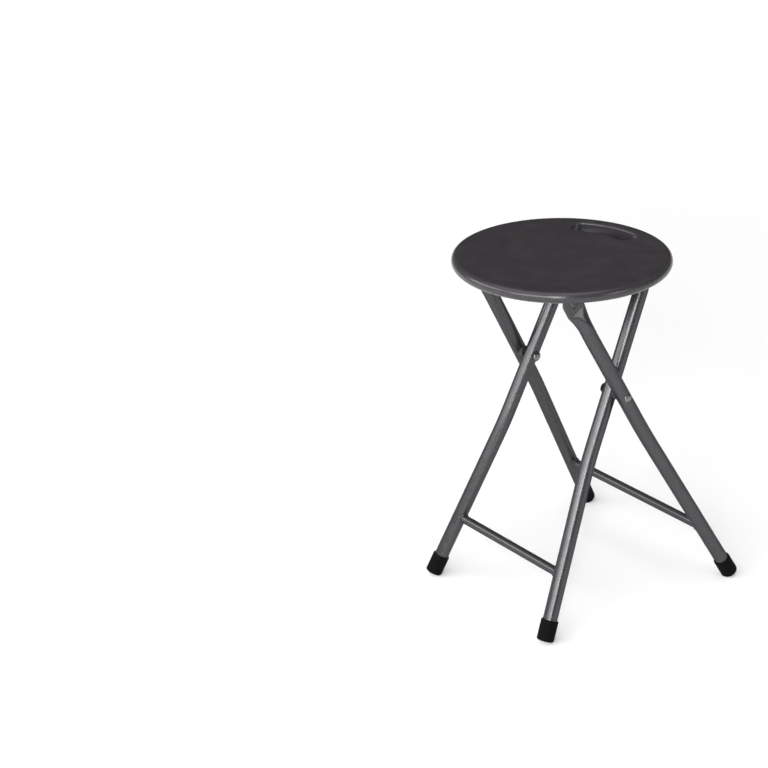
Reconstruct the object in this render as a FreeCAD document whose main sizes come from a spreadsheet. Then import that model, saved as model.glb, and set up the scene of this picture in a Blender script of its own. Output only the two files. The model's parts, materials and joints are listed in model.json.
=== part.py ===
import FreeCAD, Part
import Sketcher

import math
import os

# A folding round stool: a moulded seat with a hand slot, carried by two crossed tube frames.
# X runs along the crossbars, Y from the inner frame's feet to the outer frame's feet, Z up.
# The origin is on the floor, in the middle of the footprint. All sizes are in millimetres.

SIZES = {
    "Seat_Height": 471,
    "Pivot_Height": 302,
    "Pivot_Reach": 16.6,
    "Hinge_Inset": 67.3,
    "Bar_Inset": 9.8,
    "Tube_Diameter": 19,
    "Tube_Wall": 1.5,
    "Bend_Radius": 500,
    "Inner_Foot_Half": 116,
    "Inner_Bend_Half": 82.5,
    "Inner_Bend_Height": 214,
    "Inner_Top_Half": 67.5,
    "Corner_Radius": 22,
    "Foot_Spread": 27,
    "Bend_Spread": 22.2,
    "Crown_Spread": 27.9,
    "Outer_Bend_Height": 242,
    "Crown_Radius": 120,
    "Crown_Drop": 53,
    "Press_Drop": 38,
    "Half_Press_Drop": 21,
    "Plate_Drop": 11,
    "Half_Press_Width": 24,
    "Half_Press_Edge": 8,
    "Half_Press_Bulge": 2.4,
    "Flat_Width": 29,
    "Flat_Thickness": 4.2,
    "Flat_Inset": 2,
    "Crossbar_Diameter": 12,
    "Crossbar_Wall": 1.2,
    "Inner_Crossbar_Height": 82,
    "Outer_Crossbar_Height": 83,
    "Bead_Width": 2,
    "Bead_Height": 1.6,
    "Cap_Wall": 1.9,
    "Cap_Length": 28,
    "Cap_Floor": 4,
    "Cap_Rounding": 3,
    "Cap_Lip_Rounding": 1,
    "Cap_Flute_Radius": 0.8,
    "Cap_Flute_Offset": 0.32,
    "Cap_Flute_Count": 18,
    "Cap_Band": 3,
    "Cap_Contact": 0.8,
    "Seat_Diameter": 280,
    "Rim_Thickness": 15,
    "Seat_Wall": 3.2,
    "Dish_Depth": 3,
    "Rib_Level": 8.5,
    "Rib_Thickness": 2,
    "Rib_Count": 10,
    "Rib_Ring_Radius": 58,
    "Rib_Root": 1,
    "Slot_Margin": 12.5,
    "Slot_Width": 27,
    "Slot_Half_Span": 18.2,
    "Slot_Turn": 15.5,
    "Slot_Edge_Rounding": 2.5,
    "Skirt_Depth": 14.5,
    "Skirt_Wall": 3,
    "Rivet_Diameter": 6,
    "Rivet_Head_Diameter": 11,
    "Rivet_Head_Height": 2.6,
    "Rivet_Seat": 0.8,
    "Washer_Diameter": 13,
    "Washer_Thickness": 1.2,
    "Spacer_Diameter": 15,
    "Strap_Width": 24,
    "Strap_Thickness": 2,
    "Strap_Bend": 4,
    "Strap_Screw_Inner": 28,
    "Strap_Screw_Outer": 72,
    "Screw_Diameter": 3.5,
    "Screw_Head_Diameter": 7.4,
    "Screw_Face_Diameter": 5.3,
    "Screw_Head_Height": 2.2,
    "Screw_Grip": 5,
    "Boss_Diameter": 9,
    "Rest_Half": 27,
    "Rest_Width": 20,
    "Rest_Plate": 3.5,
    "Rest_Wall": 4.2,
    "Rest_Reach": 30,
    "Rest_Hook": 3,
    "Rest_Screw_Back": 22,
    "Rest_Screw_Half": 5.5,
    "Running_Fit": 0.05,
    "Free_Gap": 0.3,
    "Splay_Gap": 0.8,
    "Swing_Gap": 1,
    "Skirt_Gap": 1.2,
}

doc = FreeCAD.newDocument("folding_stool")
sheet = doc.addObject("Spreadsheet::Sheet", "sizes")
for row, (alias, size) in enumerate(SIZES.items(), start=1):
    sheet.set(f"A{row}", alias)
    sheet.set(f"B{row}", str(size))
    sheet.setAlias(f"B{row}", alias)
layout = doc.addObject("App::VarSet", "layout")
doc.recompute()

ORIGIN = FreeCAD.Vector(0, 0, 0)
UP = FreeCAD.Vector(0, 0, 1)
SIDES = (("right", 1), ("left", -1))
TOLERANCE = 0.01
nodes = []


def number(expression):
    """The value of an expression on the sheet."""
    value = sheet.evalExpression(expression)
    return float(getattr(value, "Value", value))


def derive(name, kind, expression):
    """A value that follows from the sheet, kept by name in the layout set."""
    layout.addProperty(f"App::Property{kind}", name)
    layout.setExpression(name, expression)
    doc.recompute()


# The seat's own places, from its centre outwards and from its top down
derive("Rim_Radius", "Float", "sizes.Seat_Diameter / 2 - sizes.Rim_Thickness / 2")
derive("Under_Level", "Float", "sizes.Seat_Height - sizes.Rib_Level")
derive("Slot_Outer_Radius", "Float", "layout.Rim_Radius - sizes.Slot_Margin")
derive("Slot_Inner_Radius", "Float", "layout.Slot_Outer_Radius - sizes.Slot_Width")
derive("Hinge_Reach", "Float", "layout.Rim_Radius - sizes.Hinge_Inset")
derive("Bar_Reach", "Float", "layout.Slot_Inner_Radius - sizes.Bar_Inset")
derive("Hinge_Height", "Float", "layout.Under_Level - sizes.Swing_Gap - sizes.Flat_Width / 2")
derive(
    "Bar_Height",
    "Float",
    "sizes.Seat_Height - sizes.Skirt_Depth - sizes.Skirt_Gap - sizes.Rest_Plate"
    " - sizes.Free_Gap - sizes.Tube_Diameter / 2",
)

# The frames lean through the pivot, one up to the bar and the other up to the hinge
derive(
    "Inner_Lean",
    "Angle",
    "atan2(layout.Bar_Reach - sizes.Pivot_Reach; layout.Bar_Height - sizes.Pivot_Height)",
)
derive(
    "Outer_Lean",
    "Angle",
    "atan2(layout.Hinge_Reach + sizes.Pivot_Reach; layout.Hinge_Height - sizes.Pivot_Height)",
)
derive(
    "Foot_Reach",
    "Float",
    "sizes.Pivot_Height * (tan(layout.Inner_Lean) + tan(layout.Outer_Lean)) / 2",
)
derive("Pivot_Y", "Float", "sizes.Pivot_Height * tan(layout.Inner_Lean) - layout.Foot_Reach")
derive("Seat_Y", "Float", "layout.Pivot_Y - sizes.Pivot_Reach")
derive("Hinge_Y", "Float", "layout.Seat_Y - layout.Hinge_Reach")
derive("Bar_Y", "Float", "layout.Seat_Y + layout.Bar_Reach")

# Half widths of both frames: the outer one stands outside the inner one
derive("Inner_Foot_Half", "Float", "sizes.Inner_Foot_Half")
derive("Inner_Bend_Half", "Float", "sizes.Inner_Bend_Half")
derive("Outer_Foot_Half", "Float", "sizes.Inner_Foot_Half + sizes.Foot_Spread")
derive("Outer_Bend_Half", "Float", "sizes.Inner_Bend_Half + sizes.Bend_Spread")
derive("Outer_Crown_Half", "Float", "sizes.Inner_Top_Half + sizes.Crown_Spread")
derive("Outer_Crown_Height", "Float", "layout.Hinge_Height - sizes.Crown_Drop")
derive("Hinge_Half", "Float", "layout.Outer_Crown_Half - sizes.Flat_Inset")
derive(
    "Ear_Face",
    "Float",
    "layout.Hinge_Half - sizes.Flat_Thickness / 2 - sizes.Free_Gap - sizes.Washer_Thickness",
)
derive(
    "Rest_Step",
    "Float",
    "sqrt((layout.Slot_Inner_Radius - sizes.Skirt_Wall) ^ 2"
    " - (sizes.Rest_Half + sizes.Rest_Width / 2) ^ 2) - sizes.Free_Gap - layout.Bar_Reach",
)
derive("Cap_Radius", "Float", "sizes.Tube_Diameter / 2 + sizes.Cap_Wall")
for frame_name in ("Inner", "Outer"):
    derive(
        f"{frame_name}_Splay",
        "Angle",
        f"atan2(layout.{frame_name}_Foot_Half - layout.{frame_name}_Bend_Half;"
        f" sizes.{frame_name}_Bend_Height / cos(layout.{frame_name}_Lean))",
    )
    derive(
        f"{frame_name}_Tilt",
        "Angle",
        f"acos(cos(layout.{frame_name}_Lean) * cos(layout.{frame_name}_Splay))",
    )
    derive(
        f"{frame_name}_End_Lift",
        "Float",
        "((layout.Cap_Radius - sizes.Cap_Rounding)"
        f" * sin(layout.{frame_name}_Tilt) + sizes.Cap_Rounding - sizes.Cap_Contact)"
        f" / cos(layout.{frame_name}_Tilt) - sizes.Cap_Rounding + sizes.Cap_Floor",
    )
    derive(
        f"{frame_name}_Crossbar_Half",
        "Float",
        f"layout.{frame_name}_Foot_Half - sizes.{frame_name}_Crossbar_Height"
        f" * (layout.{frame_name}_Foot_Half - layout.{frame_name}_Bend_Half)"
        f" / sizes.{frame_name}_Bend_Height",
    )
derive(
    "Outer_Upper_Splay",
    "Angle",
    "atan2(layout.Outer_Bend_Half - layout.Outer_Crown_Half;"
    " (layout.Outer_Crown_Height - sizes.Outer_Bend_Height) / cos(layout.Outer_Lean))",
)
derive(
    "Inner_Upper_Splay",
    "Angle",
    "atan2(sizes.Inner_Bend_Half - sizes.Inner_Top_Half;"
    " (layout.Bar_Height - sizes.Inner_Bend_Height) / cos(layout.Inner_Lean))",
)
derive(
    "Inner_Pivot_Half",
    "Float",
    "sizes.Inner_Bend_Half - (sizes.Pivot_Height - sizes.Inner_Bend_Height)"
    " / cos(layout.Inner_Lean) * tan(layout.Inner_Upper_Splay)",
)
derive(
    "Outer_Pivot_Half",
    "Float",
    "layout.Outer_Bend_Half - (sizes.Pivot_Height - sizes.Outer_Bend_Height)"
    " / cos(layout.Outer_Lean) * tan(layout.Outer_Upper_Splay)",
)


def bind(sketch, kind, *references):
    """Adds a dimension whose value is the expression given last."""
    expression = references[-1]
    value = number(expression)
    if kind == "Angle":
        value = math.radians(value)
    index = sketch.addConstraint(Sketcher.Constraint(kind, *references[:-1], value))
    sketch.setExpression(f"Constraints[{index}]", expression)


def fix_point(sketch, geometry, vertex, place):
    """Dimensions a vertex from the sketch's origin in both directions."""
    bind(sketch, "DistanceX", -1, 1, geometry, vertex, place[0])
    bind(sketch, "DistanceY", -1, 1, geometry, vertex, place[1])


def new_sketch(body, name, role, offset=None):
    """A sketch on one of the body's own origin planes, raised by offset along its normal."""
    sketch = body.newObject("Sketcher::SketchObject", name)
    plane = [f for f in body.Origin.OriginFeatures if f.Role == role][0]
    sketch.AttachmentSupport = [(plane, "")]
    sketch.MapMode = "FlatFace"
    if offset:
        sketch.setExpression("AttachmentOffset.Base.z", offset)
    return sketch


def add_circle(sketch, radius, centre=None):
    """A dimensioned circle, at the sketch's origin unless a centre is given."""
    at = ORIGIN if centre is None else FreeCAD.Vector(number(centre[0]), number(centre[1]), 0)
    circle = sketch.addGeometry(Part.Circle(at, UP, number(radius)), False)
    if centre is None:
        sketch.addConstraint(Sketcher.Constraint("Coincident", circle, 3, -1, 1))
    else:
        fix_point(sketch, circle, 3, centre)
    bind(sketch, "Radius", circle, radius)
    return circle


def add_arc(sketch, centre, start, end):
    """The shorter arc from start to end. Returns it and its vertex numbers at start and end."""
    radius = (start - centre).Length
    first = math.atan2(start.y - centre.y, start.x - centre.x)
    last = math.atan2(end.y - centre.y, end.x - centre.x)
    turn = (last - first) % (2 * math.pi)
    circle = Part.Circle(centre, UP, radius)
    if turn <= math.pi + 1e-6:
        return sketch.addGeometry(Part.ArcOfCircle(circle, first, first + turn), False), 1, 2
    back = 2 * math.pi - turn
    return sketch.addGeometry(Part.ArcOfCircle(circle, last, last + back), False), 2, 1


def bent_path(sketch, points, radii):
    """Straight runs through the points, joined by tangent arcs of the given radii."""
    at = [FreeCAD.Vector(number(x), number(y), 0) for x, y in points]
    pieces = []
    start = at[0]
    for i, radius in enumerate(radii, start=1):
        back = (at[i - 1] - at[i]).normalize()
        ahead = (at[i + 1] - at[i]).normalize()
        half_angle = back.getAngle(ahead) / 2
        trim = number(radius) / math.tan(half_angle)
        centre = at[i] + (back + ahead).normalize() * (number(radius) / math.sin(half_angle))
        run = sketch.addGeometry(Part.LineSegment(start, at[i] + back * trim), False)
        arc, first, last = add_arc(sketch, centre, at[i] + back * trim, at[i] + ahead * trim)
        sketch.addConstraint(Sketcher.Constraint("Tangent", run, 2, arc, first))
        if pieces:
            sketch.addConstraint(Sketcher.Constraint("Tangent", run, 1, *pieces[-1]))
        bind(sketch, "Radius", arc, radius)
        pieces += [run, (arc, last)]
        start = at[i] + ahead * trim
    run = sketch.addGeometry(Part.LineSegment(start, at[-1]), False)
    sketch.addConstraint(Sketcher.Constraint("Tangent", run, 1, *pieces[-1]))
    pieces.append(run)
    fix_point(sketch, pieces[0], 1, points[0])
    fix_point(sketch, run, 2, points[-1])
    for i, place in enumerate(points[1:-1], start=1):
        corner = sketch.addGeometry(Part.Point(at[i]), True)
        for neighbour in (pieces[2 * i - 2], pieces[2 * i]):
            sketch.addConstraint(Sketcher.Constraint("PointOnObject", corner, 1, neighbour))
        fix_point(sketch, corner, 1, place)
    doc.recompute()


def closed_outline(sketch, points, arcs=None):
    """A closed outline through the points. arcs gives, by the number of its first point,
    a side's centre and which one of the centre's coordinates is dimensioned."""
    arcs = arcs or {}
    at = [FreeCAD.Vector(number(x), number(y), 0) for x, y in points]
    sides = []
    for i, start in enumerate(at):
        end = at[(i + 1) % len(at)]
        if i in arcs:
            (x, y), _ = arcs[i]
            centre = FreeCAD.Vector(number(x), number(y), 0)
            sides.append(add_arc(sketch, centre, start, end))
        else:
            sides.append((sketch.addGeometry(Part.LineSegment(start, end), False), 1, 2))
    for i, (side, first, last) in enumerate(sides):
        following = sides[(i + 1) % len(sides)]
        sketch.addConstraint(Sketcher.Constraint("Coincident", side, last, following[0], following[1]))
        fix_point(sketch, side, first, points[i])
        if i in arcs:
            centre, axis = arcs[i]
            bind(sketch, f"Distance{axis}", -1, 1, side, 3, centre["XY".index(axis)])


def add_round(sketch, radius, centre_x):
    """A circle of four arcs, so that each of its edges has one to meet in a pressed section."""
    reach = f"({radius}) * sqrt(0.5)"
    right, left = f"{centre_x} + {reach}", f"{centre_x} - {reach}"
    centre = (centre_x, "0")
    closed_outline(
        sketch,
        [(right, reach), (left, reach), (left, f"-{reach}"), (right, f"-{reach}")],
        {0: (centre, "Y"), 1: (centre, "X"), 2: (centre, "Y"), 3: (centre, "X")},
    )


def add_pressed(sketch, half_width, half_depth, centre_x, bulge=None):
    """A tube's section pressed between flats: two half circles joined by straight sides,
    or by arcs that rise above the half circles by the bulge."""
    straight = f"({half_width} - {half_depth})"
    right, left = f"{centre_x} + {half_depth}", f"{centre_x} - {half_depth}"
    arcs = {0: ((centre_x, straight), "Y"), 2: ((centre_x, f"-{straight}"), "Y")}
    if bulge:
        radius = f"({straight} ^ 2 + {bulge} ^ 2) / (2 * {bulge})"
        arcs[1] = ((f"{left} - {bulge} + {radius}", "0"), "X")
        arcs[3] = ((f"{right} + {bulge} - {radius}", "0"), "X")
    closed_outline(
        sketch,
        [(right, straight), (left, straight), (left, f"-{straight}"), (right, f"-{straight}")],
        arcs,
    )


def new_body(name):
    """A body whose label names the node that it makes."""
    body = doc.addObject("PartDesign::Body", f"{name}_body")
    body.Label = name
    return body


def keep(item, name, placement=None):
    """Names the finished object after its node and lists it."""
    item.Label = name
    if placement:
        item.setExpression("Placement", placement)
    nodes.append(item)
    doc.recompute()
    return item


def pad(body, name, sketch, length, midplane=False):
    feature = body.newObject("PartDesign::Pad", name)
    feature.Profile = sketch
    feature.setExpression("Length", length)
    feature.Midplane = midplane
    doc.recompute()
    return feature


def pocket_through(body, name, sketch):
    """Cuts the sketch through the whole body, both ways."""
    before = body.Tip.Shape.Volume
    feature = body.newObject("PartDesign::Pocket", name)
    feature.Profile = sketch
    feature.Type = "ThroughAll"
    feature.Midplane = True
    doc.recompute()
    if feature.Shape.Volume >= before:
        raise ValueError(f"{name} cuts nothing")
    return feature


def revolve(body, name, sketch, axis):
    """Turns a profile about the sketch's own V_Axis or H_Axis."""
    feature = body.newObject("PartDesign::Revolution", name)
    feature.Profile = sketch
    feature.ReferenceAxis = (sketch, [axis])
    feature.Angle = 360
    doc.recompute()
    return feature


def tube_along(body, spine):
    """A tube of the frame's size along the path in the spine sketch."""
    section = body.newObject("Sketcher::SketchObject", "TubeSection")
    section.AttachmentSupport = [(spine, "Edge1")]
    section.MapMode = "NormalToEdge"
    add_circle(section, "sizes.Tube_Diameter / 2")
    add_circle(section, "sizes.Tube_Diameter / 2 - sizes.Tube_Wall")
    doc.recompute()
    pipe = body.newObject("PartDesign::AdditivePipe", "Tube")
    pipe.Profile = section
    pipe.Spine = (spine, [f"Edge{i + 1}" for i in range(len(spine.Shape.Edges))])
    doc.recompute()
    return pipe


def cut_round_end(body, name, level, radius, upwards):
    """Trims a flat end to a half circle about the cross axis at the given level."""
    margin = f"({radius} + 4)"
    sign = "" if upwards else "-"
    sketch = new_sketch(body, f"{name}Outline", "YZ_Plane")
    tip = f"{level} + {sign}{margin}"
    closed_outline(
        sketch,
        [
            (radius, level),
            (margin, level),
            (margin, tip),
            (f"-{margin}", tip),
            (f"-{margin}", level),
            (f"-({radius})", level),
            ("0", f"{level} + {sign}({radius})"),
        ],
        {5: (("0", level), "Y"), 6: (("0", level), "Y")},
    )
    return pocket_through(body, name, sketch)


def cross_hole(body, name, level, radius):
    """A hole along X at the given level."""
    sketch = new_sketch(body, f"{name}Circle", "YZ_Plane")
    add_circle(sketch, radius, ("0", level))
    return pocket_through(body, name, sketch)


def vector(x, y, z):
    return f"vector({x}; {y}; {z})"


def still(at):
    """A placement at a point, unturned."""
    return f"placement({at}; rotationx(0))"


def leaning(frame_name):
    """The turn that leans a frame over: the inner frame forwards, the outer one back."""
    sign = "-" if frame_name == "Inner" else ""
    return f"rotationx({sign}layout.{frame_name}_Lean)"


def plane_y(frame_name, height):
    """Where a frame's plane lies along Y at a height above the floor."""
    run = f"({height}) * tan(layout.{frame_name}_Lean)"
    if frame_name == "Inner":
        return f"{run} - layout.Foot_Reach"
    return f"layout.Foot_Reach - {run}"


def frame_placement(frame_name):
    """A frame's flat plane stood on its line of feet and leaned to the other side."""
    return f"placement({vector('0', plane_y(frame_name, '0'), '0')}; {leaning(frame_name)})"


def in_plane(frame_name, height):
    """The distance up a frame's own plane of a point at a height above the floor."""
    return f"{height} / cos(layout.{frame_name}_Lean)"


def foot_point(frame_name, sign):
    """Where a leg's tube ends, in the frame's own plane."""
    lift = f"layout.{frame_name}_End_Lift"
    splay = f"layout.{frame_name}_Splay"
    return (
        f"{sign} * (layout.{frame_name}_Foot_Half - {lift} * sin({splay}))",
        f"{lift} * cos({splay})",
    )


def make_inner_frame():
    """One tube bent into an upturned U, with rivet holes where the frames cross."""
    body = new_body("inner_frame_tube")
    spine = new_sketch(body, "Spine", "XZ_Plane")
    bend = in_plane("Inner", "sizes.Inner_Bend_Height")
    top = in_plane("Inner", "layout.Bar_Height")
    bent_path(
        spine,
        [
            foot_point("Inner", 1),
            ("sizes.Inner_Bend_Half", bend),
            ("sizes.Inner_Top_Half", top),
            ("-sizes.Inner_Top_Half", top),
            ("-sizes.Inner_Bend_Half", bend),
            foot_point("Inner", -1),
        ],
        ["sizes.Bend_Radius", "sizes.Corner_Radius", "sizes.Corner_Radius", "sizes.Bend_Radius"],
    )
    tube_along(body, spine)
    level = in_plane("Inner", "sizes.Pivot_Height")
    cross_hole(body, "RivetHole", level, "sizes.Rivet_Diameter / 2 + sizes.Running_Fit")
    return keep(body, "inner_frame_tube", frame_placement("Inner"))


def make_outer_leg(side, sign):
    """A tube with a splay bend, pressed flat and rounded at the top for the seat hinge."""
    name = f"outer_leg_{side}"
    body = new_body(name)
    spine = new_sketch(body, "Spine", "XZ_Plane")
    crown = f"{sign} * layout.Outer_Crown_Half"
    start = in_plane("Outer", "(layout.Hinge_Height - sizes.Press_Drop)")
    half_press = in_plane("Outer", "(layout.Hinge_Height - sizes.Half_Press_Drop)")
    end = in_plane("Outer", "(layout.Hinge_Height - sizes.Plate_Drop)")
    bent_path(
        spine,
        [
            foot_point("Outer", sign),
            (f"{sign} * layout.Outer_Bend_Half", in_plane("Outer", "sizes.Outer_Bend_Height")),
            (crown, in_plane("Outer", "layout.Outer_Crown_Height")),
            (crown, start),
        ],
        ["sizes.Bend_Radius", "sizes.Crown_Radius"],
    )
    tube_along(body, spine)
    hinge_x = f"{sign} * layout.Hinge_Half"
    middle_x = f"({crown} + {hinge_x}) / 2"
    round_section = new_sketch(body, "RoundSection", "XY_Plane", start)
    add_round(round_section, "sizes.Tube_Diameter / 2", crown)
    half_section = new_sketch(body, "HalfPressSection", "XY_Plane", half_press)
    half_width, half_edge = "sizes.Half_Press_Width / 2", "sizes.Half_Press_Edge / 2"
    add_pressed(half_section, half_width, half_edge, middle_x, "sizes.Half_Press_Bulge")
    flat_width, flat_depth = "sizes.Flat_Width / 2", "sizes.Flat_Thickness / 2"
    flat_section = new_sketch(body, "FlatSection", "XY_Plane", end)
    add_pressed(flat_section, flat_width, flat_depth, hinge_x)
    doc.recompute()
    press = body.newObject("PartDesign::AdditiveLoft", "Press")
    press.Profile = round_section
    press.Sections = [half_section, flat_section]
    doc.recompute()
    plate_section = new_sketch(body, "PlateSection", "XY_Plane", end)
    add_pressed(plate_section, flat_width, flat_depth, hinge_x)
    hinge_level = in_plane("Outer", "layout.Hinge_Height")
    pad(body, "Plate", plate_section, f"{hinge_level} - {end} + sizes.Flat_Width / 2")
    cut_round_end(body, "RoundEnd", hinge_level, "sizes.Flat_Width / 2", True)
    hole = "sizes.Rivet_Diameter / 2 + sizes.Running_Fit"
    cross_hole(body, "HingeHole", hinge_level, hole)
    cross_hole(body, "RivetHole", in_plane("Outer", "sizes.Pivot_Height"), hole)
    return keep(body, name, frame_placement("Outer"))


def cylinder(name, radius, height, placement):
    item = doc.addObject("Part::Cylinder", name)
    item.setExpression("Radius", radius)
    item.setExpression("Height", height)
    item.setExpression("Placement", placement)
    return item


def cut(name, base, tool):
    item = doc.addObject("Part::Cut", name)
    item.Base = base
    item.Tool = tool
    doc.recompute()
    return item


def fuse(name, shapes):
    item = doc.addObject("Part::MultiFuse", name)
    item.Shapes = shapes
    doc.recompute()
    return item


def group(name, shapes):
    """Separate solids kept in one node."""
    item = doc.addObject("Part::Compound", f"{name}_group")
    item.Links = shapes
    doc.recompute()
    return item


def leg_axis(frame_name, sign, part="lower"):
    """The placement of a leg's straight run: its foot or bend point, with Z along the tube."""
    if part == "lower":
        x, z = f"{sign} * layout.{frame_name}_Foot_Half", "0"
        splay = f"layout.{frame_name}_Splay"
    else:
        x, z = f"{sign} * layout.{frame_name}_Bend_Half", f"sizes.{frame_name}_Bend_Height"
        splay = f"layout.{frame_name}_Upper_Splay"
    turned = f"{leaning(frame_name)} * rotationy({-sign} * {splay})"
    return x, plane_y(frame_name, z), z, turned


def leg_core(name, frame_name, sign, radius, part="lower"):
    """A solid bar along a leg's straight run, used to shape what seats on the tube."""
    x, y, z, turned = leg_axis(frame_name, sign, part)
    at = f"placement({vector(x, y, z)}; {turned})"
    return cylinder(name, radius, "sizes.Pivot_Height", at)


def make_crossbar(frame_name):
    """A tube coped to both legs, and the weld beads round its ends."""
    word = frame_name.lower()
    height = f"sizes.{frame_name}_Crossbar_Height"
    half = f"layout.{frame_name}_Crossbar_Half"
    y = plane_y(frame_name, height)
    along = f"placement({vector(f'-{half}', y, height)}; rotationy(90))"
    bar_radius = "sizes.Crossbar_Diameter / 2"
    tube_radius = "sizes.Tube_Diameter / 2"
    full = f"2 * {half}"
    outside = cylinder(f"{word}_bar_outside", bar_radius, full, along)
    inside = cylinder(f"{word}_bar_inside", f"{bar_radius} - sizes.Crossbar_Wall", full, along)
    hollow = cut(f"{word}_bar_hollow", outside, inside)
    cores = [leg_core(f"{word}_core_{s}", frame_name, sign, tube_radius) for s, sign in SIDES]
    coped = cut(f"{word}_bar_coped", hollow, fuse(f"{word}_cores", cores))
    keep(coped, f"{word}_crossbar")
    beads = []
    for side, sign in SIDES:
        tag = f"{word}_bead_{side}"
        start = f"placement({vector(f'{sign} * {half}', y, height)}; rotationy({-sign * 90}))"
        collar = cylinder(f"{tag}_collar", f"{bar_radius} + sizes.Bead_Width", "sizes.Tube_Diameter", start)
        shell = leg_core(f"{tag}_shell", frame_name, sign, f"{tube_radius} + sizes.Bead_Height")
        core = leg_core(f"{tag}_core", frame_name, sign, tube_radius)
        bar = cylinder(f"{tag}_bar", bar_radius, full, along)
        common = doc.addObject("Part::Common", f"{tag}_common")
        common.Base = collar
        common.Tool = shell
        doc.recompute()
        beads.append(cut(tag, common, fuse(f"{tag}_cores", [core, bar])))
    keep(group(f"{word}_weld_beads", beads), f"{word}_weld_beads")


def make_foot(frame_name, side, sign):
    """A fluted rubber cap over the tube's end, worn flat where it meets the floor."""
    name = f"foot_{frame_name.lower()}_{side}"
    body = doc.addObject("PartDesign::Body", f"{name}_body")
    radius = "layout.Cap_Radius"
    bore = "sizes.Tube_Diameter / 2 + sizes.Running_Fit"
    bottom = "-sizes.Cap_Floor"
    top = "sizes.Cap_Length - sizes.Cap_Floor"
    edge = "sizes.Cap_Rounding"
    lip = "sizes.Cap_Lip_Rounding"
    profile = new_sketch(body, "Profile", "XZ_Plane")
    closed_outline(
        profile,
        [
            ("0", bottom),
            (f"{radius} - {edge}", bottom),
            (radius, f"{bottom} + {edge}"),
            (radius, f"{top} - {lip}"),
            (f"{radius} - {lip}", top),
            (bore, top),
            (bore, "0"),
            ("0", "0"),
        ],
        {
            1: ((f"{radius} - {edge}", f"{bottom} + {edge}"), "X"),
            3: ((f"{radius} - {lip}", f"{top} - {lip}"), "X"),
        },
    )
    revolve(body, "Cap", profile, "V_Axis")
    flute = new_sketch(body, "Flute", "XY_Plane")
    add_circle(flute, "sizes.Cap_Flute_Radius", (f"{radius} + sizes.Cap_Flute_Offset", "0"))
    groove = body.newObject("PartDesign::Pocket", "FluteCut")
    groove.Profile = flute
    groove.Reversed = True
    groove.setExpression("Length", f"{top} - sizes.Cap_Band")
    doc.recompute()
    pattern = body.newObject("PartDesign::PolarPattern", "Flutes")
    pattern.Originals = [groove]
    pattern.Axis = (profile, ["V_Axis"])
    pattern.Angle = 360
    pattern.setExpression("Occurrences", "sizes.Cap_Flute_Count")
    body.Tip = pattern
    x, y, z, turned = leg_axis(frame_name, sign)
    lifted = still(vector("0", "0", f"layout.{frame_name}_End_Lift"))
    body.setExpression("Placement", f"placement({vector(x, y, z)}; {turned}) * {lifted}")
    doc.recompute()
    floor = doc.addObject("Part::Box", f"{name}_floor")
    reach = "2 * sizes.Cap_Length"
    floor.setExpression("Length", f"2 * {reach}")
    floor.setExpression("Width", f"2 * {reach}")
    floor.setExpression("Height", reach)
    corner = vector(f"{x} - {reach}", f"{y} - {reach}", f"-{reach}")
    floor.setExpression("Placement", still(corner))
    keep(cut(f"{name}_worn", body, floor), name)


def make_rivet(name, sign, inner_face, outer_face, y, z):
    """A round-headed rivet along X, its shank between the faces that its heads seat on."""
    body = new_body(name)
    shank = "sizes.Rivet_Diameter / 2"
    head = "sizes.Rivet_Head_Diameter / 2"
    rise = "sizes.Rivet_Head_Height"
    dome = f"(({head}) ^ 2 + {rise} ^ 2) / (2 * {rise})"
    inner, outer = f"{sign} * ({inner_face})", f"{sign} * ({outer_face})"
    inner_tip, outer_tip = f"{sign} * ({inner_face} - {rise})", f"{sign} * ({outer_face} + {rise})"
    profile = new_sketch(body, "Profile", "XZ_Plane")
    closed_outline(
        profile,
        [
            (inner_tip, "0"),
            (inner, head),
            (inner, shank),
            (outer, shank),
            (outer, head),
            (outer_tip, "0"),
        ],
        {
            0: ((f"{sign} * ({inner_face} - {rise} + {dome})", "0"), "Y"),
            4: ((f"{sign} * ({outer_face} + {rise} - {dome})", "0"), "Y"),
        },
    )
    revolve(body, "Rivet", profile, "H_Axis")
    body.setExpression("Placement", still(vector("0", y, z)))
    doc.recompute()
    return body


def make_ring(name, sign, start, thickness, outer_radius, y, z):
    """A washer round a rivet, from start outwards along X."""
    at = f"placement({vector(f'{sign} * ({start})', y, z)}; rotationy({sign * 90}))"
    bore = "sizes.Rivet_Diameter / 2 + sizes.Running_Fit"
    disc = cylinder(f"{name}_disc", outer_radius, thickness, at)
    hole = cylinder(f"{name}_hole", bore, thickness, at)
    return cut(f"{name}_ring", disc, hole)


PIVOT_Y, PIVOT_Z = "layout.Pivot_Y", "sizes.Pivot_Height"
HINGE_Y, HINGE_Z = "layout.Hinge_Y", "layout.Hinge_Height"


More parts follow.
